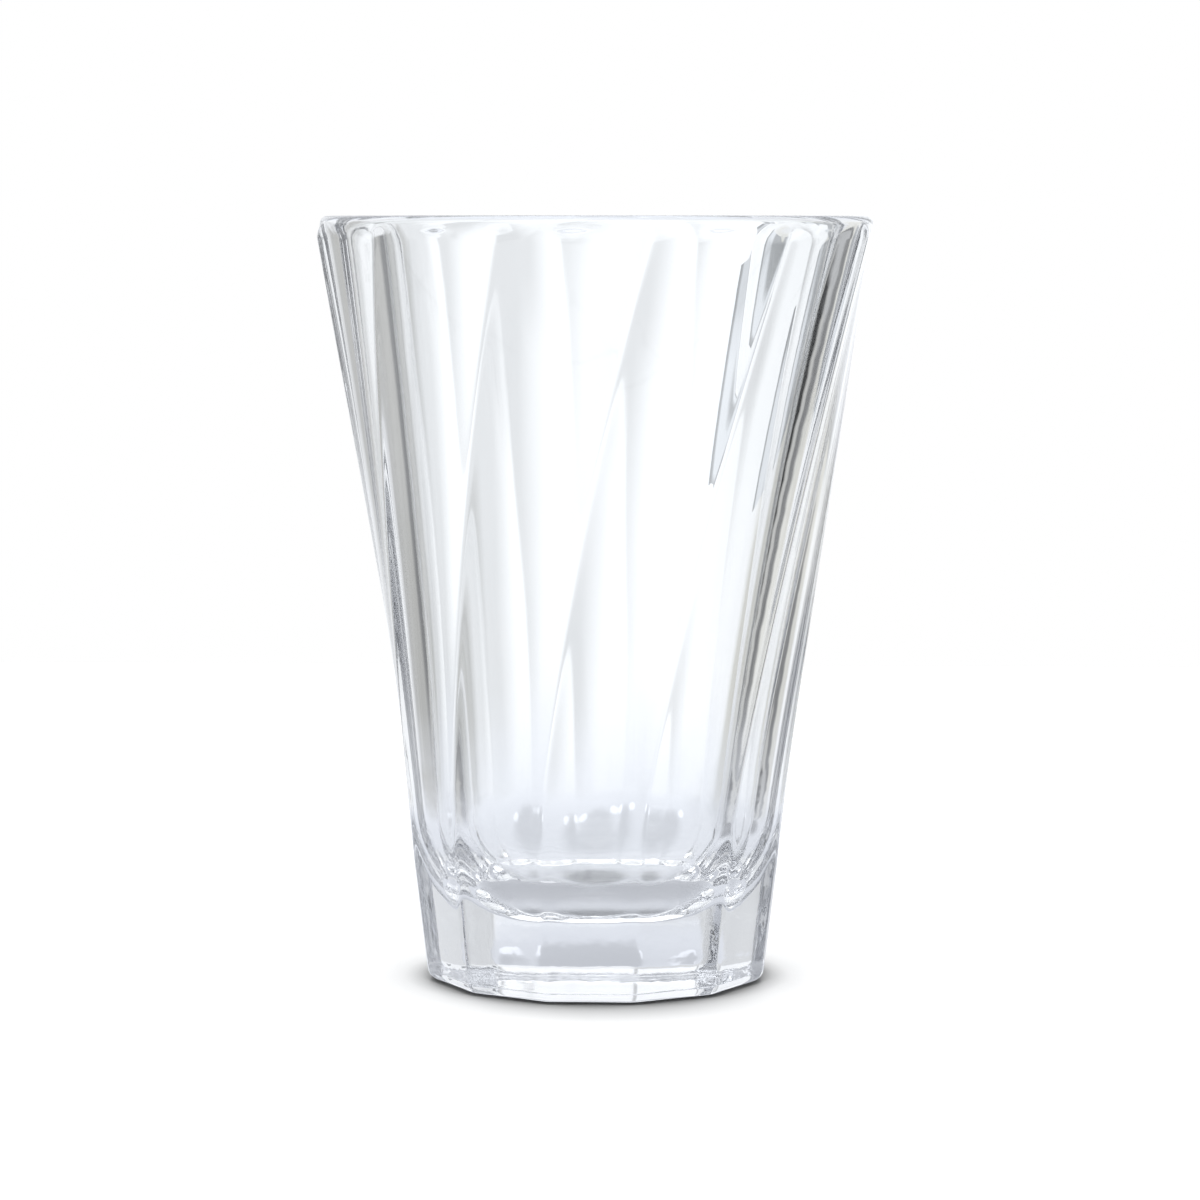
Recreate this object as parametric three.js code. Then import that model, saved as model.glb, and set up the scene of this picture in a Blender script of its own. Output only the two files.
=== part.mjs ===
// Latte glass: one pressed piece of clear glass. Its flutes stand upright on
// the solid foot, lean round by about one flute up the body and run out below
// the round rim. Sizes are in millimetres and degrees, +Z is up, the foot rests on
// Z = 0, and the middle of one foot flute faces -Y.
import * as THREE from "three";

// Outside, measured on the ridges between the flutes
const height = 120;
const ridgeTopRadius = 44.45;
const footHeight = 18;
const footTopRadius = 29.3;
const footBottomRadius = 27.1;
const footRounding = 1.2;
const bodyHollow = 1.3; // how far the side bows in from a straight line

// Flutes, which are almost flat
const fluteCount = 12;
const footFluteDepth = 0.83;
const middleFluteDepth = 0.82;
const rimFluteDepth = 1.2;
const twist = 28.4; // how far a flute leans round from the foot to the rim
const leanLevel = 28; // level about which the flutes begin to lean
const leanSoftness = 9; // how gently they begin to lean
const fluteFade = 1.8; // height in which the ridges run out below the lip

// Rim, which is round
const rimRadius = 43.3;
const rimWall = 4.6;
const rimRounding = 1.2;

// Inside, which is round and smooth
const baseThickness = 11.2;
const innerBottomRadius = 22.1; // where the wall and the bottom would meet
const innerHollow = 1.65; // how far the inner wall bows in
const innerRounding = 16.5;

// How finely the surface is divided
const stepsPerFlute = 6;
const roundingSteps = 4;
const lipSteps = 4;
const footSteps = 5;
const bodySteps = 16;
const fadeSteps = 4;
const innerSteps = 7;
const innerRoundingSteps = 9;

const degrees = Math.PI / 180;
const columns = fluteCount * stepsPerFlute;
const lipRadius = Math.min(rimRounding, rimWall / 2);
const lipLevel = height - lipRadius;
const fadeLevel = lipLevel - fluteFade;

// One ring of the profile. depth is how far the middle of a flute lies inside
// the ridges.
function ring(radius, level, depth = 0) {
  return { radius, level, depth };
}

// How far round the flutes have leaned at a level.
function leanAt(level) {
  const above = level - leanLevel;
  const leaning = (above + Math.hypot(above, leanSoftness)) / 2;
  return (twist * leaning) / (lipLevel - leanLevel);
}

// Radius of the ridges on the body, with share running from 0 at the top of
// the foot to 1 at the rim.
function bodyRadius(share) {
  const straight = footTopRadius + (ridgeTopRadius - footTopRadius) * share;
  return straight - 4 * bodyHollow * share * (1 - share);
}

// Depth of the flutes on the body, for the same share.
function bodyDepth(share) {
  const ends = footFluteDepth + (rimFluteDepth - footFluteDepth) * share;
  const sag = middleFluteDepth - (footFluteDepth + rimFluteDepth) / 2;
  return ends + 4 * sag * share * (1 - share);
}

// The flat underside, its rounded edge and the upright flutes of the foot.
function footRings() {
  const rings = [ring(0, 0)];
  for (let step = 0; step <= roundingSteps; step += 1) {
    const angle = (step / roundingSteps) * 90 * degrees;
    const radius = footBottomRadius - footRounding * (1 - Math.sin(angle));
    const level = footRounding * (1 - Math.cos(angle));
    rings.push(ring(radius, level, footFluteDepth));
  }
  for (let step = 1; step < footSteps; step += 1) {
    const share = step / footSteps;
    const radius = footBottomRadius + (footTopRadius - footBottomRadius) * share;
    const level = footRounding + (footHeight - footRounding) * share;
    rings.push(ring(radius, level, footFluteDepth));
  }
  return rings;
}

// The leaning flutes of the body, which run out into the round rim.
function bodyRings() {
  const rings = [];
  const span = lipLevel - footHeight;
  const leaning = fadeLevel - footHeight;
  for (let step = 0; step <= bodySteps; step += 1) {
    const share = ((step / bodySteps) * leaning) / span;
    const level = footHeight + share * span;
    rings.push(ring(bodyRadius(share), level, bodyDepth(share)));
  }
  for (let step = 1; step < fadeSteps; step += 1) {
    const left = 1 - step / fadeSteps;
    const fade = left * left * (3 - 2 * left);
    const level = lipLevel - fluteFade * left;
    const share = (level - footHeight) / span;
    const radius = rimRadius + (bodyRadius(share) - rimRadius) * fade;
    rings.push(ring(radius, level, bodyDepth(share) * fade));
  }
  return rings;
}

// The lip, rounded outside and inside.
function rimRings() {
  const rings = [];
  const outerCentre = rimRadius - lipRadius;
  const innerCentre = rimRadius - rimWall + lipRadius;
  for (let step = 0; step <= lipSteps; step += 1) {
    const angle = (step / lipSteps) * 90 * degrees;
    const level = lipLevel + lipRadius * Math.sin(angle);
    rings.push(ring(outerCentre + lipRadius * Math.cos(angle), level));
  }
  const inner = Math.abs(outerCentre - innerCentre) < 0.01 ? 1 : 0;
  for (let step = inner; step <= lipSteps; step += 1) {
    const angle = (1 + step / lipSteps) * 90 * degrees;
    const level = lipLevel + lipRadius * Math.sin(angle);
    rings.push(ring(innerCentre + lipRadius * Math.cos(angle), level));
  }
  return rings;
}

// The round inner wall, the wide rounding at its foot and the small flat
// inner bottom.
function innerRings() {
  const rings = [];
  const topRadius = rimRadius - rimWall;
  const slope = (topRadius - innerBottomRadius) / (lipLevel - baseThickness);
  const lean = Math.atan(slope);
  const rounding = Math.min(innerRounding, innerBottomRadius);
  const centreLevel = baseThickness + rounding;
  const wallRadius = innerBottomRadius + slope * rounding;
  const centreRadius = wallRadius - rounding / Math.cos(lean);
  const endRadius = centreRadius + rounding * Math.cos(lean);
  const endLevel = centreLevel - rounding * Math.sin(lean);
  for (let step = 1; step < innerSteps; step += 1) {
    const share = step / innerSteps;
    const straight = topRadius + (endRadius - topRadius) * share;
    const radius = straight - 4 * innerHollow * share * (1 - share);
    const level = lipLevel + (endLevel - lipLevel) * share;
    rings.push(ring(radius, level));
  }
  for (let step = 0; step <= innerRoundingSteps; step += 1) {
    const angle = -lean + (step / innerRoundingSteps) * (lean - 90 * degrees);
    const radius = centreRadius + rounding * Math.cos(angle);
    const level = centreLevel + rounding * Math.sin(angle);
    rings.push(ring(radius, level));
  }
  rings.push(ring(0, baseThickness));
  return rings;
}

// Depth of a flute across its width, 0 on a ridge and 1 in the middle.
function acrossFlute(column) {
  const place = (column % stepsPerFlute) / stepsPerFlute;
  const fromMiddle = Math.abs(2 * place - 1);
  return 1 - fromMiddle * fromMiddle;
}

// Turns the profile round the axis, then presses the flutes into it. The
// columns lean with the flutes outside and stand upright inside.
function glassGeometry() {
  const outside = [...footRings(), ...bodyRings()];
  const inside = [...rimRings(), ...innerRings()];
  const turns = [
    ...outside.map((one) => leanAt(one.level)),
    ...inside.map(() => leanAt(lipLevel)),
  ];
  const rings = [...outside, ...inside];
  const profile = rings.map((one) => new THREE.Vector2(one.radius, one.level));
  const geometry = new THREE.LatheGeometry(profile, columns);
  const position = geometry.attributes.position;
  const halfFlute = 180 / fluteCount;
  for (let column = 0; column <= columns; column += 1) {
    const share = acrossFlute(column);
    const around = (column / columns) * 360 + halfFlute;
    rings.forEach((one, row) => {
      const angle = (around + turns[row]) * degrees;
      const radius = one.radius - one.depth * share;
      const index = column * rings.length + row;
      position.setXYZ(index, radius * Math.sin(angle), -radius * Math.cos(angle), one.level);
    });
  }
  geometry.computeVertexNormals();
  return geometry;
}

const clearGlass = new THREE.MeshStandardMaterial({
  color: 0xf2f6f7,
  metalness: 0,
  roughness: 0.05,
  transparent: true,
  opacity: 0.35,
});
clearGlass.name = "clear_glass";

const glass = new THREE.Mesh(glassGeometry(), clearGlass);
glass.name = "glass";

const part = new THREE.Group();
part.name = "latte_glass";
part.add(glass);

export default part;
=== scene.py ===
"""A clear latte glass with leaning flutes, standing on a pale studio table."""

import logging
import math
from dataclasses import dataclass
from enum import Enum

import bmesh
import bpy
from mathutils import Matrix, Vector


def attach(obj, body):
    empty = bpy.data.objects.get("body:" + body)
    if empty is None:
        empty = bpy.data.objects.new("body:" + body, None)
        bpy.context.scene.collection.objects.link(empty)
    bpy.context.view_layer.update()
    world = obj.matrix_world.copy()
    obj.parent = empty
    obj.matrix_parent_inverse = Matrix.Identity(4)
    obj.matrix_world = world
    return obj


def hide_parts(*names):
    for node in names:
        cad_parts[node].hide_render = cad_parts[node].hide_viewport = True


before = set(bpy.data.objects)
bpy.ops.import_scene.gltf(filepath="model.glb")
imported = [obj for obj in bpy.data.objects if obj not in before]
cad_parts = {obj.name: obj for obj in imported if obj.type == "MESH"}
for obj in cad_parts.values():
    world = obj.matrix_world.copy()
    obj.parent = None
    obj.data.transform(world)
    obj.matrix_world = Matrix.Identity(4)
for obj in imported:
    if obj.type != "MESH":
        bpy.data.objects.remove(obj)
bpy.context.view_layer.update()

LOG = logging.getLogger("latte_glass")
MM = 0.001
GLASS_BOUNCES = 48
WHITE = (1.0, 1.0, 1.0, 1.0)
UPRIGHT = (0.0, 0.0, 1.0)
ORIGIN = (0.0, 0.0, 0.0)

# Sockets of a Mix node that mixes colours
MIX_SHARE = 0
MIX_FIRST = 6
MIX_SECOND = 7
MIX_RESULT = 2

Colour = tuple[float, float, float, float]
Triple = tuple[float, float, float]
Tones = tuple[tuple[float, float], ...]
Tree = bpy.types.NodeTree
Socket = bpy.types.NodeSocket


class Zone(Enum):
    """Which part of the profile a ring of the glass belongs to."""

    UNDERSIDE = 0
    FOOT = 1
    BODY = 2
    RIM = 3
    INSIDE = 4


def smooth_step(value: float) -> float:
    """Eases a value from 0 to 1 with level ends.

    Args:
        value: the share to ease, clamped to 0 and 1.

    Returns:
        The eased share.
    """
    share = min(1.0, max(0.0, value))
    return share * share * (3.0 - 2.0 * share)


def feed(tree: Tree, socket: Socket, value: Socket | float | tuple[float, ...]) -> None:
    """Links a socket to another node, or sets its value.

    Args:
        tree: the node tree.
        socket: the socket to feed.
        value: another node's output, or a plain number, vector or colour.
    """
    if isinstance(value, bpy.types.NodeSocket):
        tree.links.new(value, socket)
    else:
        socket.default_value = value


def add_math(tree: Tree, operation: str, *values: Socket | float) -> Socket:
    """Adds a node that works with numbers.

    Args:
        tree: the node tree.
        operation: what the node does.
        values: what it works on, in the order of its sockets.

    Returns:
        The result.
    """
    node = tree.nodes.new("ShaderNodeMath")
    node.operation = operation
    for socket, value in zip(node.inputs, values):
        feed(tree, socket, value)
    return node.outputs["Value"]


def add_vector_math(tree: Tree, operation: str, *values: Socket | Triple) -> Socket:
    """Adds a node that works with vectors.

    Args:
        tree: the node tree.
        operation: what the node does.
        values: what it works on, in the order of its sockets.

    Returns:
        The result, a number for a length and a vector otherwise.
    """
    node = tree.nodes.new("ShaderNodeVectorMath")
    node.operation = operation
    for socket, value in zip(node.inputs, values):
        feed(tree, socket, value)
    return node.outputs["Value" if operation == "LENGTH" else "Vector"]


def value_range(
    tree: Tree,
    value: Socket,
    start: float,
    end: float,
    low: float = 0.0,
    high: float = 1.0,
    soft: bool = True,
) -> Socket:
    """Spreads a value over a range.

    Args:
        tree: the node tree.
        value: the value.
        start: where the range begins.
        end: where it ends.
        low: the result at the start.
        high: the result at the end.
        soft: whether the ends of the range are eased.

    Returns:
        The spread value.
    """
    node = tree.nodes.new("ShaderNodeMapRange")
    node.interpolation_type = "SMOOTHSTEP" if soft else "LINEAR"
    node.inputs["From Min"].default_value = start
    node.inputs["From Max"].default_value = end
    node.inputs["To Min"].default_value = low
    node.inputs["To Max"].default_value = high
    tree.links.new(value, node.inputs["Value"])
    return node.outputs["Result"]


def split_vector(tree: Tree, vector: Socket) -> bpy.types.Node:
    """Splits a vector into its X, Y and Z.

    Args:
        tree: the node tree.
        vector: the vector.

    Returns:
        The node, with outputs X, Y and Z.
    """
    node = tree.nodes.new("ShaderNodeSeparateXYZ")
    tree.links.new(vector, node.inputs[0])
    return node


def mix_colours(
    tree: Tree,
    share: Socket | float,
    first: Socket | Colour,
    second: Socket | Colour,
    blend: str = "MIX",
) -> Socket:
    """Mixes two colours.

    Args:
        tree: the node tree.
        share: how much of the second colour is mixed in.
        first: the first colour.
        second: the second colour.
        blend: how they are mixed.

    Returns:
        The mixed colour.
    """
    node = tree.nodes.new("ShaderNodeMix")
    node.data_type = "RGBA"
    node.blend_type = blend
    feed(tree, node.inputs[MIX_SHARE], share)
    feed(tree, node.inputs[MIX_FIRST], first)
    feed(tree, node.inputs[MIX_SECOND], second)
    return node.outputs[MIX_RESULT]


def mix_shaders(tree: Tree, share: Socket, first: Socket, second: Socket) -> Socket:
    """Mixes two shaders.

    Args:
        tree: the node tree.
        share: how much of the second shader is mixed in.
        first: the first shader.
        second: the second shader.

    Returns:
        The mixed shader.
    """
    node = tree.nodes.new("ShaderNodeMixShader")
    for socket, value in zip(node.inputs, (share, first, second)):
        tree.links.new(value, socket)
    return node.outputs[0]


def colour_ramp(tree: Tree, value: Socket, stops: list[tuple[float, Colour]]) -> Socket:
    """Colours a value by a ramp.

    Args:
        tree: the node tree.
        value: the value, from 0 to 1.
        stops: the place and colour of each stop, in order.

    Returns:
        The colour.
    """
    node = tree.nodes.new("ShaderNodeValToRGB")
    elements = node.color_ramp.elements
    elements[0].position, elements[0].color = stops[0]
    elements[1].position, elements[1].color = stops[-1]
    for position, colour in stops[1:-1]:
        elements.new(position).color = colour
    tree.links.new(value, node.inputs["Fac"])
    return node.outputs["Color"]


def new_tree(owner: bpy.types.Material | bpy.types.World) -> Tree:
    """Gives a material or world an empty node tree.

    Args:
        owner: the material or world.

    Returns:
        The empty tree.
    """
    owner.use_nodes = True
    owner.node_tree.nodes.clear()
    return owner.node_tree


@dataclass(frozen=True)
class ClearGlass:
    """Pressed, fire polished clear glass, with a faint ripple left by the mould."""

    name: str = "clear_glass"
    index: float = 1.5
    clear: Colour = WHITE
    clouded: Colour = (0.975, 0.985, 0.985, 1.0)
    polish: float = 0.0
    dullest: float = 0.012
    dull_start: float = 0.45
    dull_end: float = 0.75
    depth_tint: Colour = (0.704, 0.71, 0.727, 1.0)
    depth_density: float = 13.0
    wave_scale: float = 75.0
    wave_detail: float = 1.0
    wave_height: float = 0.25
    foot_wave_height: float = 0.9
    dimple_scale: float = 230.0
    dimple_detail: float = 2.0
    dimple_height: float = 0.03
    foot_dimple_height: float = 0.38
    foot_ripple_level: float = 0.026
    body_ripple_level: float = 0.038
    ripple_depth: float = 0.0001

    def make(self) -> bpy.types.Material:
        """Builds the node material.

        Returns:
            The new material.
        """
        material = bpy.data.materials.new(self.name)
        material.use_nodes = True
        tree = material.node_tree
        link = tree.links.new
        shader = tree.nodes["Principled BSDF"]
        shader.inputs["IOR"].default_value = self.index
        shader.inputs["Transmission Weight"].default_value = 1.0
        place = tree.nodes.new("ShaderNodeTexCoord").outputs["Object"]
        waves = self.noise(tree, place, self.wave_scale, self.wave_detail)
        dimples = self.noise(tree, place, self.dimple_scale, self.dimple_detail)
        tint = mix_colours(tree, waves, self.clear, self.clouded)
        link(tint, shader.inputs["Base Color"])
        dullness = value_range(
            tree, dimples, self.dull_start, self.dull_end, self.polish, self.dullest
        )
        link(dullness, shader.inputs["Roughness"])
        link(self.ripple(tree, place, waves, dimples), shader.inputs["Normal"])
        depth = tree.nodes.new("ShaderNodeVolumeAbsorption")
        depth.inputs["Color"].default_value = self.depth_tint
        depth.inputs["Density"].default_value = self.depth_density
        link(depth.outputs[0], tree.nodes["Material Output"].inputs["Volume"])
        return material

    def ripple(self, tree: Tree, place: Socket, waves: Socket, dimples: Socket) -> Socket:
        """Makes the mould's ripple, which is strongest round the thick foot.

        Args:
            tree: the material's node tree.
            place: the place on the glass.
            waves: the broad waves.
            dimples: the small dimples.

        Returns:
            The rippled normal.
        """
        level = split_vector(tree, place).outputs["Z"]
        start, end = self.body_ripple_level, self.foot_ripple_level
        dimpled = value_range(
            tree, level, start, end, self.dimple_height, self.foot_dimple_height
        )
        waved = value_range(tree, level, start, end, self.wave_height, self.foot_wave_height)
        small = add_math(tree, "MULTIPLY", dimples, dimpled)
        height = add_math(tree, "MULTIPLY_ADD", waves, waved, small)
        bump = tree.nodes.new("ShaderNodeBump")
        bump.inputs["Strength"].default_value = 1.0
        bump.inputs["Distance"].default_value = self.ripple_depth
        tree.links.new(height, bump.inputs["Height"])
        return bump.outputs["Normal"]

    def noise(self, tree: Tree, place: Socket, scale: float, detail: float) -> Socket:
        """Makes a soft noise over the glass.

        Args:
            tree: the material's node tree.
            place: the place on the glass.
            scale: how fine the noise is.
            detail: how many finer layers it has.

        Returns:
            The noise's value.
        """
        node = tree.nodes.new("ShaderNodeTexNoise")
        node.inputs["Scale"].default_value = scale
        node.inputs["Detail"].default_value = detail
        tree.links.new(place, node.inputs["Vector"])
        return node.outputs["Fac"]


@dataclass
class FlutedGlass:
    """The pressed glass, in millimetres, measured on the ridges."""

    height: float = 120.0
    rim_radius: float = 43.3
    ridge_top_radius: float = 44.45
    foot_height: float = 18.0
    foot_top_radius: float = 29.3
    foot_bottom_radius: float = 27.1
    foot_rounding: float = 1.8
    body_hollow: float = 1.3
    flute_count: int = 12
    foot_flute_depth: float = 0.83
    middle_flute_depth: float = 0.82
    rim_flute_depth: float = 1.2
    ridge_softness: float = 0.05
    foot_ridge_softness: float = 0.15
    flute_roundness: float = 2.23
    twist: float = 28.4
    lean_level: float = 28.0
    lean_softness: float = 9.0
    flute_fade: float = 1.8
    rim_wall: float = 4.6
    rim_rounding: float = 1.2
    base_thickness: float = 11.2
    inner_bottom_radius: float = 22.1
    inner_hollow: float = 1.65
    inner_rounding: float = 16.5

    # How finely the surface is divided
    steps_per_flute: int = 24
    body_steps: int = 24
    inner_steps: int = 16
    rounding_steps: int = 10
    edge_cuts: tuple[tuple[float, int], ...] = ((8.0, 7), (4.0, 3), (2.0, 1))
    ridge_crowding: float = 0.55
    weld_distance: float = 0.0005

    # Where the straight inner wall ends, in roundings from the rim and bottom
    wall_top_gap: float = 1.5
    wall_foot_gap: float = 1.4
    lip_fit: float = 0.998

    @property
    def lip_level(self) -> float:
        """Level of the foot of the rounded lip, where the flutes have run out."""
        return self.height - self.rim_rounding

    def body_radius(self, level: float) -> float:
        """Radius of the ridges on the body.

        Args:
            level: the height above the table.

        Returns:
            The ridge radius at that height.
        """
        share = (level - self.foot_height) / (self.lip_level - self.foot_height)
        rise = self.ridge_top_radius - self.foot_top_radius
        straight = self.foot_top_radius + rise * share
        return straight - 4.0 * self.body_hollow * share * (1.0 - share)

    def inner_radius(self, level: float) -> float:
        """Radius of the smooth inner wall.

        Args:
            level: the height above the table.

        Returns:
            The radius of the inner wall at that height, before its rounding.
        """
        share = (level - self.base_thickness) / (self.lip_level - self.base_thickness)
        top = self.rim_radius - self.rim_wall
        straight = self.inner_bottom_radius + (top - self.inner_bottom_radius) * share
        return straight - 4.0 * self.inner_hollow * share * (1.0 - share)

    def flute_depth(self, share: float) -> float:
        """Depth of the flutes on the way up the body.

        Args:
            share: 0 at the top of the foot and 1 below the rim.

        Returns:
            The depth of the middle of a flute below its ridges.
        """
        ends = self.foot_flute_depth * (1.0 - share) + self.rim_flute_depth * share
        middle = 0.5 * (self.foot_flute_depth + self.rim_flute_depth)
        return ends + 4.0 * share * (1.0 - share) * (self.middle_flute_depth - middle)

    def corner_points(self) -> list[tuple[float, float, Zone, float]]:
        """Lists the corners of the profile, from the underside to the inside.

        Returns:
            The radius, level, zone and rounding of each corner.
        """
        corners = [
            (0.0, 0.0, Zone.UNDERSIDE, 0.0),
            (self.foot_bottom_radius, 0.0, Zone.FOOT, self.foot_rounding),
            (self.foot_top_radius, self.foot_height, Zone.BODY, 0.0),
        ]
        span = self.lip_level - self.foot_height
        for step in range(1, self.body_steps + 1):
            level = self.foot_height + span * step / self.body_steps
            radius = self.body_radius(level) if step < self.body_steps else self.rim_radius
            corners.append((radius, level, Zone.BODY, 0.0))
        lip = self.rim_rounding * self.lip_fit
        inner_rim = self.rim_radius - self.rim_wall
        corners.append((self.rim_radius, self.height, Zone.RIM, lip))
        corners.append((inner_rim, self.height, Zone.INSIDE, lip))
        top_level = self.height - self.rim_rounding * self.wall_top_gap
        low_level = self.base_thickness + self.inner_rounding * self.wall_foot_gap
        for step in range(self.inner_steps + 1):
            level = top_level + (low_level - top_level) * step / self.inner_steps
            corners.append((self.inner_radius(level), level, Zone.INSIDE, 0.0))
        wall_run = self.inner_radius(low_level) - self.inner_bottom_radius
        wall_lean = math.atan2(wall_run, low_level - self.base_thickness)
        tangent = self.inner_rounding * math.tan((math.pi / 2.0 - wall_lean) / 2.0)
        corners.append((self.inner_bottom_radius, self.base_thickness, Zone.INSIDE, tangent))
        corners.append((0.0, self.base_thickness, Zone.INSIDE, 0.0))
        return corners

    def build(self) -> bpy.types.Object:
        """Spins the profile, then presses the flutes into it.

        Returns:
            The finished glass.
        """
        shape = bmesh.new()
        zone = shape.verts.layers.int.new("zone")
        self.draw_profile(shape, zone)
        self.spin_profile(shape)
        for vert in shape.verts:
            vert.co = self.press(vert.co, Zone(vert[zone])) * MM
        mesh = bpy.data.meshes.new("glass")
        shape.to_mesh(mesh)
        shape.free()
        mesh.polygons.foreach_set("use_smooth", [True] * len(mesh.polygons))
        piece = bpy.data.objects.new("fluted_glass", mesh)
        bpy.context.scene.collection.objects.link(piece)
        return piece

    def draw_profile(self, shape: bmesh.types.BMesh, zone: bmesh.types.BMLayerItem) -> None:
        """Draws the profile, rounds its corners and cuts its long edges.

        Args:
            shape: the empty shape.
            zone: the layer that holds each point's zone.
        """
        verts = []
        roundings = []
        for radius, level, part, rounding in self.corner_points():
            vert = shape.verts.new((0.0, -radius, level))
            vert[zone] = part.value
            verts.append(vert)
            if rounding > 0.0:
                roundings.append((vert, rounding))
        for first, second in zip(verts, verts[1:]):
            shape.edges.new((first, second))
        for vert, rounding in roundings:
            bmesh.ops.bevel(
                shape, geom=[vert], affect="VERTICES", offset=rounding, offset_type="OFFSET",
                segments=self.rounding_steps, profile=0.5, material=-1,
            )
        for length, cuts in self.edge_cuts:
            long_edges = [edge for edge in shape.edges if edge.calc_length() > length]
            bmesh.ops.subdivide_edges(shape, edges=long_edges, cuts=cuts)

    def spin_profile(self, shape: bmesh.types.BMesh) -> None:
        """Spins the profile over one flute and sets copies of it all round.

        Args:
            shape: the shape with the profile in it.
        """
        pitch = math.tau / self.flute_count
        bmesh.ops.spin(
            shape, geom=shape.verts[:] + shape.edges[:], cent=ORIGIN, axis=UPRIGHT,
            angle=pitch, steps=self.steps_per_flute,
        )
        flute = shape.verts[:] + shape.edges[:] + shape.faces[:]
        for count in range(1, self.flute_count):
            copy = bmesh.ops.duplicate(shape, geom=flute)["geom"]
            points = [item for item in copy if isinstance(item, bmesh.types.BMVert)]
            turned = Matrix.Rotation(pitch * count, 3, UPRIGHT)
            bmesh.ops.rotate(shape, verts=points, cent=ORIGIN, matrix=turned)
        bmesh.ops.remove_doubles(shape, verts=shape.verts[:], dist=self.weld_distance)
        bmesh.ops.recalc_face_normals(shape, faces=shape.faces[:])

    def press(self, point: Vector, zone: Zone) -> Vector:
        """Moves one point of the round shape into its flute.

        Args:
            point: the point on the round shape.
            zone: the part of the profile it belongs to.

        Returns:
            The point on the fluted shape.
        """
        radius = math.hypot(point.x, point.y)
        if radius < self.weld_distance:
            return point.copy()
        level = point.z
        flutes = self.flute_count
        around = math.atan2(point.x, -point.y)
        around -= self.ridge_crowding * math.sin(flutes * (around + math.pi / flutes)) / flutes
        if zone in (Zone.RIM, Zone.INSIDE):
            return self.on_ring(radius, around + math.radians(self.twist), level)
        if level > self.foot_height:
            radius = self.body_radius(level)
        share = (level - self.foot_height) / (self.lip_level - self.foot_height)
        depth = self.flute_depth(min(1.0, max(0.0, share)))
        if zone is Zone.UNDERSIDE:
            depth *= radius / self.foot_bottom_radius
        radius -= depth * self.across_flute(around, level)
        fade = smooth_step((self.lip_level - level) / self.flute_fade)
        radius = self.rim_radius + (radius - self.rim_radius) * fade
        above = level - self.lean_level
        leaning = 0.5 * (above + math.hypot(above, self.lean_softness))
        turn = math.radians(self.twist) * leaning / (self.lip_level - self.lean_level)
        return self.on_ring(radius, around + turn, level)

    def across_flute(self, around: float, level: float) -> float:
        """Share of the flute's depth across its width.

        Args:
            around: the angle round the axis, before the flute leans.
            level: the height above the table.

        Returns:
            0 on a ridge and 1 in the middle of a flute.
        """
        pitch = math.tau / self.flute_count
        place = (around / pitch + 0.5) % 1.0
        from_ridge = 1.0 - abs(2.0 * place - 1.0)
        eased = smooth_step((level - self.foot_height) / self.foot_height)
        soft = self.foot_ridge_softness + (self.ridge_softness - self.foot_ridge_softness) * eased
        rise = (math.hypot(from_ridge, soft) - soft) / (math.hypot(1.0, soft) - soft)
        return 1.0 - (1.0 - rise) ** self.flute_roundness

    @staticmethod
    def on_ring(radius: float, angle: float, level: float) -> Vector:
        """Places a point on a ring round the axis.

        Args:
            radius: the ring's radius.
            angle: the angle from the front, to the right.
            level: the ring's height above the table.

        Returns:
            The point.
        """
        return Vector((radius * math.sin(angle), -radius * math.cos(angle), level))

    def dress(self, piece: bpy.types.Object, finish: ClearGlass) -> None:
        """Gives the glass its finish and its place on the frame.

        Args:
            piece: the glass.
            finish: the glass finish.
        """
        piece.data.materials.append(finish.make())
        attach(piece, "root")
        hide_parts("glass")


@dataclass(frozen=True)
class Card:
    """A stretch of the surroundings, seen in the glass, between two bearings.

    Bearings are in degrees from straight behind the glass, to the right.
    """

    start: float
    end: float
    level: float
    warmth: float = 0.0


@dataclass(frozen=True)
class CardRow:
    """A row of cards all round the glass, between two slopes of the view."""

    bottom: float
    top: float
    cards: tuple[Card, ...]
    leaning: bool = False


@dataclass(frozen=True)
class PaintedFloorPatch:
    """A soft patch of painted shade or painted light on the table, in metres."""

    middle: Triple
    size: Triple
    tone: float


BEHIND_CAMERA_LEFT = (
    Card(-180.0, -125.0, 0.22),
    Card(-108.0, -82.0, 0.90),
)
BEHIND_CAMERA_RIGHT = (
    Card(92.0, 110.0, 0.40),
    Card(122.0, 148.0, 0.90),
    Card(160.0, 180.0, 0.22),
)
FAR_TABLE_ROW = CardRow(-1.0, -0.36, (Card(-180.0, 180.0, 0.95),))
LOW_ROW = CardRow(-0.30, -0.207, (
    *BEHIND_CAMERA_LEFT,
    Card(-74.0, -62.0, 0.24),
    Card(-57.5, -40.0, 0.51, 0.6),
    Card(-28.0, -20.0, 0.92),
    Card(-10.0, 10.0, 1.12),
    Card(24.0, 41.0, 0.85, 0.8),
    Card(44.5, 49.5, 0.22),
    Card(51.0, 54.3, 0.58, 0.6),
    Card(55.6, 76.0, 0.03),
    *BEHIND_CAMERA_RIGHT,
), leaning=True)
MIDDLE_ROW = CardRow(-0.185, -0.055, (
    *BEHIND_CAMERA_LEFT,
    Card(-70.0, -36.0, 0.54, 0.6),
    Card(-33.0, -28.0, 0.54, 0.4),
    Card(-20.0, -12.0, 0.85),
    Card(-3.0, 16.0, 1.16),
    Card(24.0, 40.0, 0.78, 1.0),
    Card(43.5, 47.5, 0.22),
    Card(50.0, 76.0, 0.50),
    *BEHIND_CAMERA_RIGHT,
), leaning=True)
LEVEL_ROW = CardRow(-0.025, 0.05, (
    *BEHIND_CAMERA_LEFT,
    Card(-78.0, -44.0, 0.80),
    Card(-38.0, -8.0, 0.86),
    Card(-1.0, 19.0, 1.17),
    Card(23.5, 27.0, 0.80),
    Card(33.0, 80.0, 0.88),
    *BEHIND_CAMERA_RIGHT,
))
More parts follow.
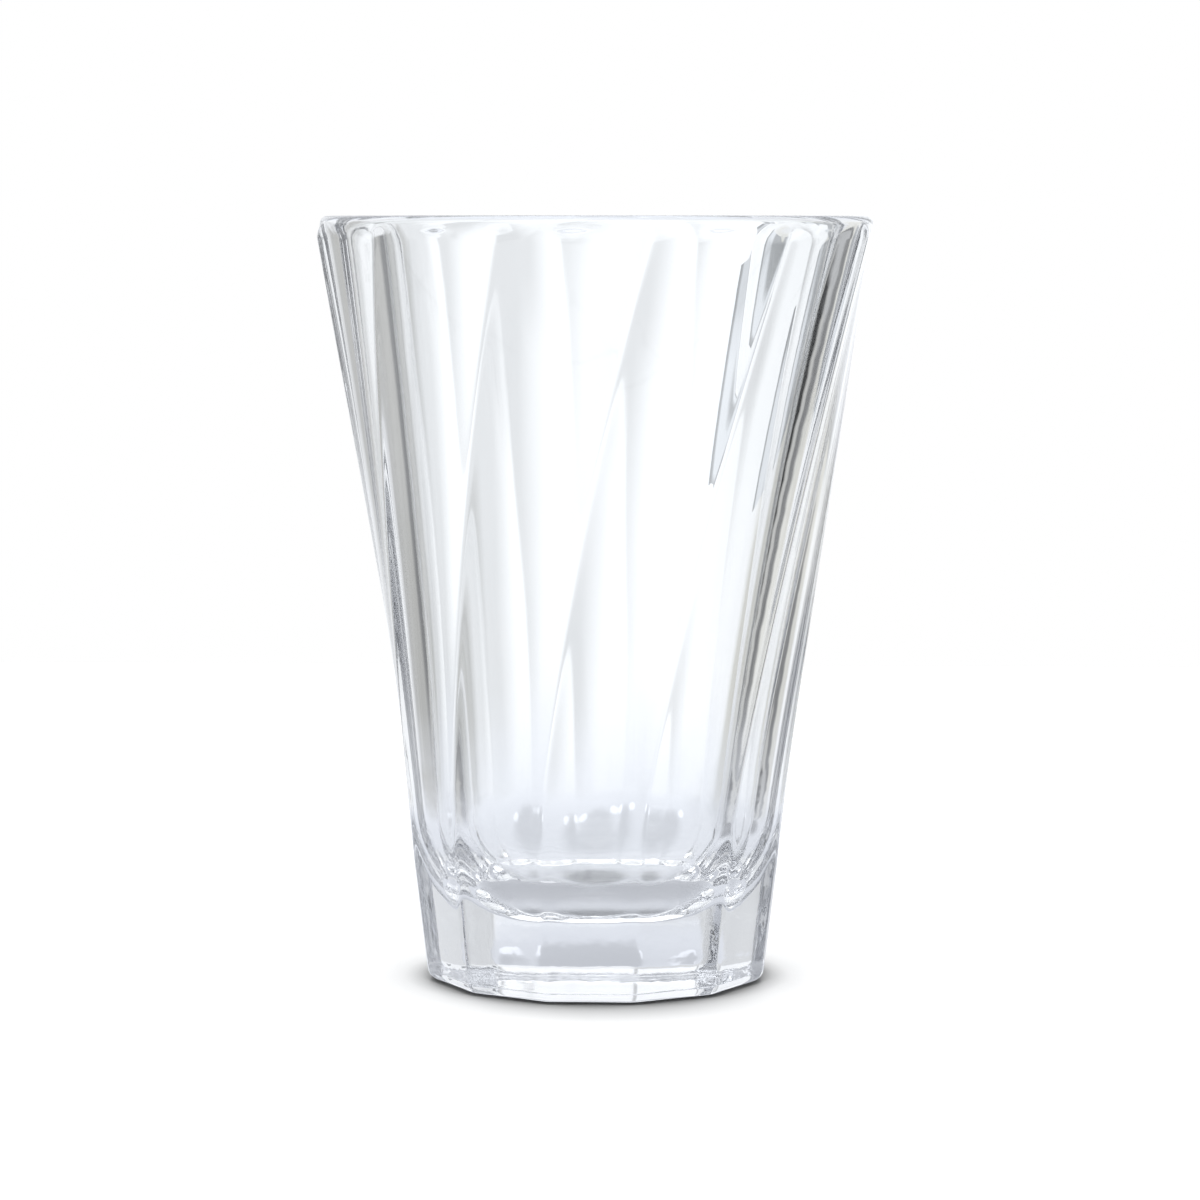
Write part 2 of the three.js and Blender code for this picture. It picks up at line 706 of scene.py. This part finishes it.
HIGH_ROW = CardRow(0.10, 0.50, (
    Card(-180.0, -110.0, 0.85),
    Card(-70.0, -33.0, 1.20),
    Card(-31.0, -27.0, 0.70),
    Card(-25.0, -11.0, 1.25),
    Card(-9.0, -6.0, 0.70),
    Card(-4.0, 14.0, 1.25),
    Card(16.0, 19.0, 0.70),
    Card(21.0, 70.0, 1.15),
    Card(110.0, 180.0, 0.85),
))
OVERHEAD_ROW = CardRow(0.60, 1.0, (
    Card(-180.0, -155.0, 2.3),
    Card(-135.0, -60.0, 1.15),
    Card(-40.0, 40.0, 1.8),
    Card(60.0, 135.0, 1.10),
    Card(155.0, 180.0, 2.3),
))


@dataclass
class Studio:
    """The white table, a low board behind the glass, the surroundings and the light."""

    light: float = 1.3

    # The table to the camera: its contact shadow, painted into its colour from the occlusion
    # round the foot, and a painted shadow in front of the glass
    table_half: float = 0.45
    table_level: float = -0.0002
    contact_reach: float = 0.008
    contact_samples: int = 16
    contact_shadow_tones: Tones = ((0.22, 0.13), (0.41, 0.30), (0.59, 0.72), (0.76, 0.93), (0.95, 1.0))
    contact_shade: PaintedFloorPatch = PaintedFloorPatch((0.002, -0.018, 0.0), (0.028, 0.025, 1.0), 0.68)

    # The table as the glass shows it, glowing, with painted shade by distance from the middle of
    # the foot and painted patches of shade and light
    near_table: float = 0.24
    front_blend: float = 0.008
    table_fade_start: float = 0.14
    table_fade_end: float = 0.40
    table_narrowing: Triple = (2.1, 1.0, 1.0)
    table_warmth: float = -0.7
    back_painted_tones: Tones = (
        (0.0, 0.32), (0.032, 0.36), (0.046, 0.74), (0.055, 0.83), (0.085, 0.88),
        (0.125, 0.86), (0.3, 0.86), (0.5, 0.92), (0.7, 0.97), (1.0, 1.02),
    )
    front_painted_tones: Tones = (
        (0.0, 0.32), (0.032, 0.36), (0.046, 0.70), (0.055, 0.73),
        (0.075, 0.60), (0.10, 0.56), (0.135, 0.74), (0.6, 0.90),
    )
    shade_core: float = 0.4
    # Painted shadow of the glass on the table behind it, two painted spots of light, a painted
    # dark patch to the right and a wide painted shade to the right
    painted_shade_and_light: tuple[PaintedFloorPatch, ...] = (
        PaintedFloorPatch((-0.002, 0.080, 0.0), (0.021, 0.072, 1.0), 0.80),
        PaintedFloorPatch((-0.017, 0.104, 0.0), (0.005, 0.016, 1.0), 1.35),
        PaintedFloorPatch((0.014, 0.120, 0.0), (0.006, 0.020, 1.0), 1.35),
        PaintedFloorPatch((0.092, 0.018, 0.0), (0.040, 0.040, 1.0), 0.50),
        PaintedFloorPatch((0.140, 0.130, 0.0), (0.130, 0.130, 1.0), 0.85),
    )

    # The board, with its tones from bottom to top and from left to right
    board_left: float = 0.088
    board_right: float = 0.200
    board_bottom: float = 0.042
    board_top: float = 0.095
    board_back: float = 0.30
    board_tones: Tones = ((0.0, 0.95), (0.53, 0.95), (0.70, 0.85), (0.78, 0.75), (1.0, 0.75))
    board_edges: Tones = (
        (0.0, 0.46), (0.06, 0.52), (0.11, 1.0), (0.33, 1.0), (0.47, 0.46), (1.0, 0.44),
    )

    # The surroundings, with stripes at the right that lean beside the table
    rows: tuple[CardRow, ...] = (
        FAR_TABLE_ROW, LOW_ROW, MIDDLE_ROW, LEVEL_ROW, HIGH_ROW, OVERHEAD_ROW,
    )
    stripe_slant: float = 2.6
    stripe_level: float = -0.2164
    stripe_top: float = -0.13
    stripe_start: float = 19.0
    stripe_full: float = 33.0

    # Red and blue of the greys, and how far warmth moves them
    grey_red: float = 0.980
    grey_blue: float = 1.028
    warm_red: float = 0.022
    warm_blue: float = -0.075

    def build_table(self) -> bpy.types.Object:
        """Makes the white table that the glass stands on.

        Returns:
            The table.
        """
        shape = bmesh.new()
        bmesh.ops.create_grid(shape, x_segments=1, y_segments=1, size=self.table_half)
        bmesh.ops.translate(shape, verts=shape.verts[:], vec=(0.0, 0.0, self.table_level))
        return self.stand(shape, "table", self.table_finish())

    def build_board(self) -> bpy.types.Object:
        """Stands a low grey board behind the glass, seen only through it.

        Returns:
            The board.
        """
        shape = bmesh.new()
        bmesh.ops.create_grid(shape, x_segments=1, y_segments=1, size=0.5)
        raised = Matrix.Rotation(math.pi / 2.0, 3, "X")
        bmesh.ops.rotate(shape, verts=shape.verts[:], matrix=raised)
        size = (self.board_right - self.board_left, 1.0, self.board_top - self.board_bottom)
        bmesh.ops.scale(shape, verts=shape.verts[:], vec=size)
        middle = (
            0.5 * (self.board_left + self.board_right),
            self.board_back,
            0.5 * (self.board_bottom + self.board_top),
        )
        bmesh.ops.translate(shape, verts=shape.verts[:], vec=middle)
        return self.stand(shape, "board", self.board_finish())

    def stand(
        self, shape: bmesh.types.BMesh, name: str, finish: bpy.types.Material
    ) -> bpy.types.Object:
        """Makes an object of a shape, with its material, in the scene.

        Args:
            shape: the shape, which is used up.
            name: what it is called.
            finish: its material.

        Returns:
            The new object.
        """
        mesh = bpy.data.meshes.new(name)
        shape.to_mesh(mesh)
        shape.free()
        thing = bpy.data.objects.new(name, mesh)
        bpy.context.scene.collection.objects.link(thing)
        mesh.materials.append(finish)
        return thing

    def board_finish(self) -> bpy.types.Material:
        """Makes the board grey in the glass and clear to everything else.

        Returns:
            The board's material.
        """
        material = bpy.data.materials.new("grey_board")
        tree = new_tree(material)
        place = tree.nodes.new("ShaderNodeTexCoord").outputs["Object"]
        split = split_vector(tree, place)
        up = value_range(
            tree, split.outputs["Z"], self.board_bottom, self.board_top, soft=False
        )
        across = value_range(
            tree, split.outputs["X"], self.board_left, self.board_right, soft=False
        )
        tone = self.tone_ramp(tree, up, self.board_tones)
        edge = self.tone_ramp(tree, across, self.board_edges)
        glow = tree.nodes.new("ShaderNodeEmission")
        tree.links.new(mix_colours(tree, 1.0, tone, edge, "MULTIPLY"), glow.inputs["Color"])
        open_air = tree.nodes.new("ShaderNodeBsdfTransparent")
        path = tree.nodes.new("ShaderNodeLightPath")
        in_glass = path.outputs["Is Transmission Ray"]
        seen = mix_shaders(tree, in_glass, open_air.outputs[0], glow.outputs[0])
        out = tree.nodes.new("ShaderNodeOutputMaterial")
        tree.links.new(seen, out.inputs["Surface"])
        return material

    def table_finish(self) -> bpy.types.Material:
        """Makes the table: matt white to the camera with a painted contact shadow, glowing with
        painted light and shade in the glass.

        Returns:
            The table's material.
        """
        material = bpy.data.materials.new("white_table")
        tree = new_tree(material)
        # Painted contact shadow: the occlusion round the foot darkens the table's colour
        occlusion = tree.nodes.new("ShaderNodeAmbientOcclusion")
        occlusion.samples = self.contact_samples
        occlusion.inputs["Distance"].default_value = self.contact_reach
        stops = [(place, (level, level, level, 1.0)) for place, level in self.contact_shadow_tones]
        contact = colour_ramp(tree, occlusion.outputs["AO"], stops)
        place = tree.nodes.new("ShaderNodeTexCoord").outputs["Object"]
        matt = tree.nodes.new("ShaderNodeBsdfDiffuse")
        # Painted shadow in front of the glass, laid over the painted contact shadow
        shaded = self.shaded(tree, contact, place, self.contact_shade)
        tree.links.new(shaded, matt.inputs["Color"])
        path = tree.nodes.new("ShaderNodeLightPath")
        to_camera = path.outputs["Is Camera Ray"]
        in_glass = self.table_in_glass(tree, place)
        shown = mix_shaders(tree, to_camera, in_glass, matt.outputs[0])
        out = tree.nodes.new("ShaderNodeOutputMaterial")
        tree.links.new(shown, out.inputs["Surface"])
        return material

    def table_in_glass(self, tree: Tree, place: Socket) -> Socket:
        """Makes the table as the glass shows it, glowing with painted shade and light, fading
        into the surroundings.

        Args:
            tree: the table's node tree.
            place: the place on the table.

        Returns:
            The shader's output.
        """
        reach = add_vector_math(tree, "LENGTH", place)
        spread = value_range(tree, reach, 0.0, self.near_table, soft=False)
        # Painted shade and light by distance from the foot, behind it and in front of it
        back = self.tone_ramp(tree, spread, self.back_painted_tones, self.table_warmth)
        front = self.tone_ramp(tree, spread, self.front_painted_tones, self.table_warmth)
        depth = split_vector(tree, place).outputs["Y"]
        in_front = value_range(tree, depth, self.front_blend, -self.front_blend)
        colour = mix_colours(tree, in_front, back, front)
        # Painted patches of shade and light on the table
        for shade in self.painted_shade_and_light:
            colour = self.shaded(tree, colour, place, shade)
        glow = tree.nodes.new("ShaderNodeEmission")
        tree.links.new(colour, glow.inputs["Color"])
        open_air = tree.nodes.new("ShaderNodeBsdfTransparent")
        narrow = add_vector_math(tree, "MULTIPLY", place, self.table_narrowing)
        away = add_vector_math(tree, "LENGTH", narrow)
        faded = value_range(tree, away, self.table_fade_start, self.table_fade_end)
        return mix_shaders(tree, faded, glow.outputs[0], open_air.outputs[0])

    def shaded(self, tree: Tree, colour: Socket, place: Socket, shade: PaintedFloorPatch) -> Socket:
        """Shades or brightens the table by one soft patch.

        Args:
            tree: the table's node tree.
            colour: the table's colour so far.
            place: the place on the table.
            shade: the patch.

        Returns:
            The shaded colour.
        """
        from_middle = add_vector_math(tree, "SUBTRACT", place, shade.middle)
        in_sizes = add_vector_math(tree, "DIVIDE", from_middle, shade.size)
        distance = add_vector_math(tree, "LENGTH", in_sizes)
        tone = value_range(tree, distance, self.shade_core, 1.0, shade.tone, 1.0)
        toned = tree.nodes.new("ShaderNodeVectorMath")
        toned.operation = "SCALE"
        tree.links.new(colour, toned.inputs[0])
        tree.links.new(tone, toned.inputs["Scale"])
        return toned.outputs[0]

    def tone_ramp(self, tree: Tree, value: Socket, tones: Tones, warmth: float = 0.0) -> Socket:
        """Colours a value by a ramp of greys.

        Args:
            tree: the node tree.
            value: the value, from 0 to 1.
            tones: the place and level of each stop, in order.
            warmth: how cream the greys are, or how blue if below 0.

        Returns:
            The grey.
        """
        stops = [(place, self.grey(level, warmth)) for place, level in tones]
        return colour_ramp(tree, value, stops)

    def build_world(self) -> bpy.types.World:
        """Makes the surroundings: white to the camera, cards to the glass.

        Returns:
            The world.
        """
        world = bpy.data.worlds.new("studio")
        bpy.context.scene.world = world
        tree = new_tree(world)
        glass_view = tree.nodes.new("ShaderNodeBackground")
        tree.links.new(self.surroundings(tree), glass_view.inputs["Color"])
        lighting = tree.nodes.new("ShaderNodeBackground")
        lighting.inputs["Color"].default_value = WHITE
        lighting.inputs["Strength"].default_value = self.light
        backdrop = tree.nodes.new("ShaderNodeBackground")
        backdrop.inputs["Color"].default_value = WHITE
        rays = tree.nodes.new("ShaderNodeLightPath").outputs
        lit = mix_shaders(
            tree, rays["Is Diffuse Ray"], glass_view.outputs[0], lighting.outputs[0]
        )
        shown = mix_shaders(tree, rays["Is Camera Ray"], lit, backdrop.outputs[0])
        out = tree.nodes.new("ShaderNodeOutputWorld")
        tree.links.new(shown, out.inputs["Surface"])
        return world

    def surroundings(self, tree: Tree) -> Socket:
        """Stacks the rows of cards round the glass.

        Args:
            tree: the world's node tree.

        Returns:
            The colour seen in each direction.
        """
        place = tree.nodes.new("ShaderNodeTexCoord").outputs["Generated"]
        split = split_vector(tree, place)
        slope = split.outputs["Z"]
        upright = add_math(tree, "ARCTAN2", split.outputs["X"], split.outputs["Y"])
        leaning = self.leaned(tree, upright, slope)
        colour = None
        for below, row in zip((None, *self.rows), self.rows):
            cards = self.card_ramp(tree, leaning if row.leaning else upright, row.cards)
            if below is None:
                colour = cards
                continue
            share = value_range(tree, slope, below.top, row.bottom)
            colour = mix_colours(tree, share, colour, cards)
        return colour

    def leaned(self, tree: Tree, bearing: Socket, slope: Socket) -> Socket:
        """Leans the stripes at the right, which stand slanted beside the table.

        Args:
            tree: the world's node tree.
            bearing: the bearing of the view, in radians.
            slope: the slope of the view.

        Returns:
            The bearing at which the stripe would stand upright.
        """
        low = add_math(tree, "MINIMUM", slope, self.stripe_top)
        rise = add_math(tree, "SUBTRACT", low, self.stripe_level)
        start, full = math.radians(self.stripe_start), math.radians(self.stripe_full)
        lean = add_math(tree, "MULTIPLY", rise, value_range(tree, bearing, start, full))
        return add_math(tree, "MULTIPLY_ADD", lean, self.stripe_slant, bearing)

    def card_ramp(self, tree: Tree, bearing: Socket, cards: tuple[Card, ...]) -> Socket:
        """Lays a row of cards round the glass.

        Args:
            tree: the world's node tree.
            bearing: the bearing of the view, in radians.
            cards: the cards, in the order of their bearings.

        Returns:
            The colour of the row at that bearing.
        """
        stops = [(0.0, self.grey(cards[0].level))]
        for card in cards:
            for edge in (card.start, card.end):
                if abs(edge) < 180.0:
                    stops.append(((edge + 180.0) / 360.0, self.grey(card.level, card.warmth)))
        stops.append((1.0, self.grey(cards[-1].level)))
        turn = value_range(tree, bearing, -math.pi, math.pi, soft=False)
        return colour_ramp(tree, turn, stops)

    def grey(self, level: float, warmth: float = 0.0) -> Colour:
        """Gives a card or the table its grey.

        Args:
            level: how bright it is.
            warmth: 0 for a cool grey, 1 for a cream, or below 0 for a bluer grey.

        Returns:
            The colour, a little bluer or yellower than plain grey.
        """
        red = level * (self.grey_red + self.warm_red * warmth)
        blue = level * (self.grey_blue + self.warm_blue * warmth)
        return (red, level, blue, 1.0)


@dataclass
class PhotoCamera:
    """The camera, level with the rim and looking a little down at the glass."""

    distance: float = 0.6338
    level: float = 0.1186
    aim_level: float = 0.0596
    turn: float = 2.3
    sideways: float = 0.0005
    lens: float = 120.87
    sensor: float = 36.0

    def build(self) -> bpy.types.Object:
        """Makes the camera and sets it as the scene's.

        Returns:
            The camera object.
        """
        data = bpy.data.cameras.new("photo_camera")
        data.sensor_width = self.sensor
        data.lens = self.lens
        camera = bpy.data.objects.new("photo_camera", data)
        angle = math.radians(self.turn)
        right = Vector((math.cos(angle), math.sin(angle), 0.0))
        place = Vector((math.sin(angle), -math.cos(angle), 0.0)) * self.distance
        camera.location = place + right * self.sideways + Vector((0.0, 0.0, self.level))
        aim = right * self.sideways + Vector((0.0, 0.0, self.aim_level))
        camera.rotation_euler = (aim - camera.location).to_track_quat("-Z", "Y").to_euler()
        bpy.context.scene.collection.objects.link(camera)
        bpy.context.scene.camera = camera
        return camera


def main() -> None:
    """Builds the glass, the studio and the camera in order."""
    logging.basicConfig(level=logging.INFO, format="%(name)s: %(message)s")
    scene = bpy.context.scene
    scene.view_settings.view_transform = "Standard"
    glass = FlutedGlass()
    piece = glass.build()
    glass.dress(piece, ClearGlass())
    LOG.info("%s: %d faces", piece.name, len(piece.data.polygons))
    studio = Studio()
    studio.build_table()
    studio.build_board()
    studio.build_world()
    PhotoCamera().build()
    scene.cycles.max_bounces = GLASS_BOUNCES
    scene.cycles.transmission_bounces = GLASS_BOUNCES
    scene.cycles.glossy_bounces = GLASS_BOUNCES


if __name__ == "__main__":
    main()
